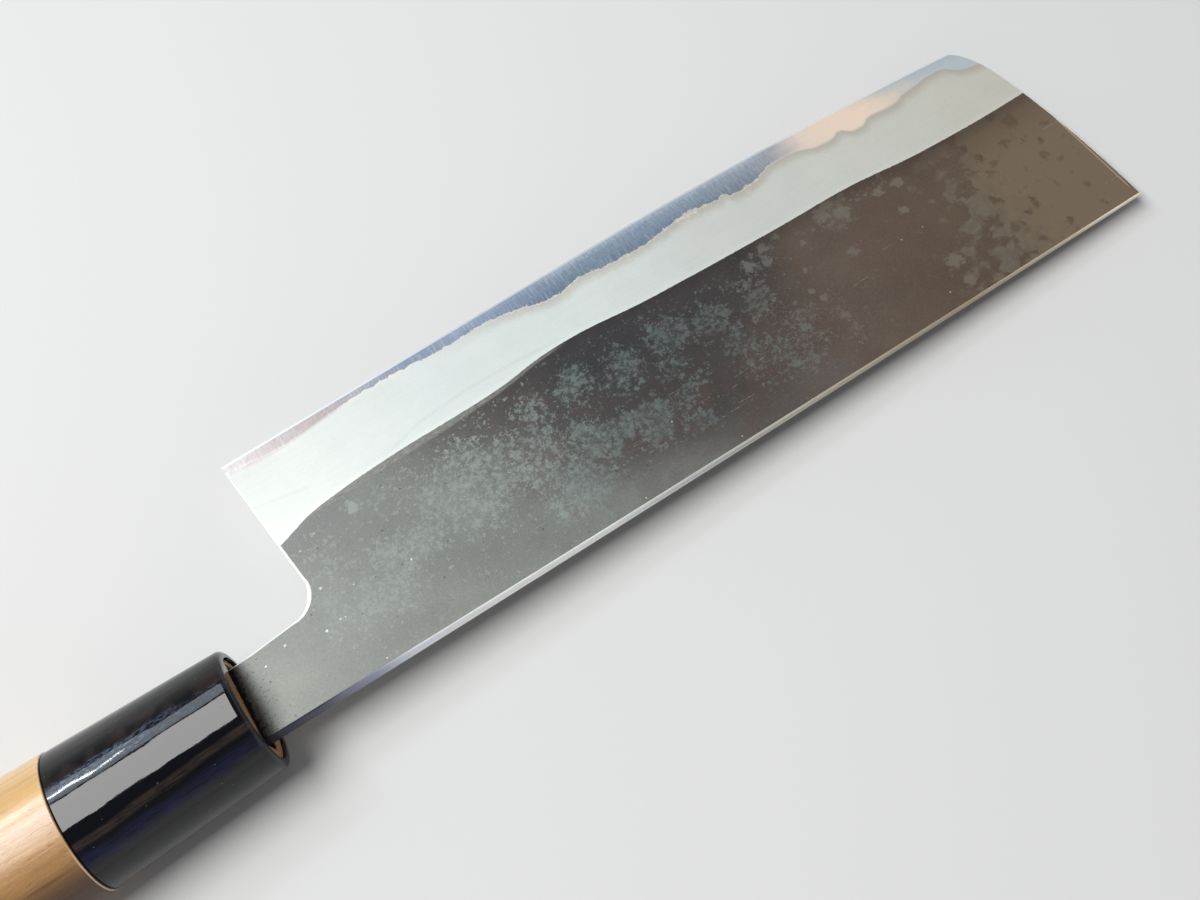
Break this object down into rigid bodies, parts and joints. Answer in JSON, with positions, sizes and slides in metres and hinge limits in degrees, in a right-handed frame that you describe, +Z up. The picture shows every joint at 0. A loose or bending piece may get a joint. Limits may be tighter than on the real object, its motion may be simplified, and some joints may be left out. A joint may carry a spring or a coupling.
{
  "type": "vegetable knife",
  "caption": "Kitchen knife with a tall rectangular forge-welded blade, black oval ferrule and oval wooden handle, lying on its side.",
  "frame": {"origin": "below the middle of the bounding box, on the surface that the knife lies on", "axes": "+X from the handle to the blade's front, +Y from the spine to the cutting edge, +Z up, out of the blade's left face"},
  "size_m": [0.3096, 0.0598, 0.027],
  "materials": {
    "core_steel": "ground, blue-grey, with a bright cutting edge",
    "forge_scale": "black forge scale on the flats, ground satin on the bevel",
    "black_plastic": "glossy black",
    "pale_wood": "satin, fine lengthwise grain, charred at the mouth of the tang's slot"
  },
  "bodies": {
    "root": {"core_steel": "core_steel", "left_cladding": "forge_scale", "right_cladding": "forge_scale", "ferrule": "black_plastic", "handle": "pale_wood"}
  },
  "joints": []
}
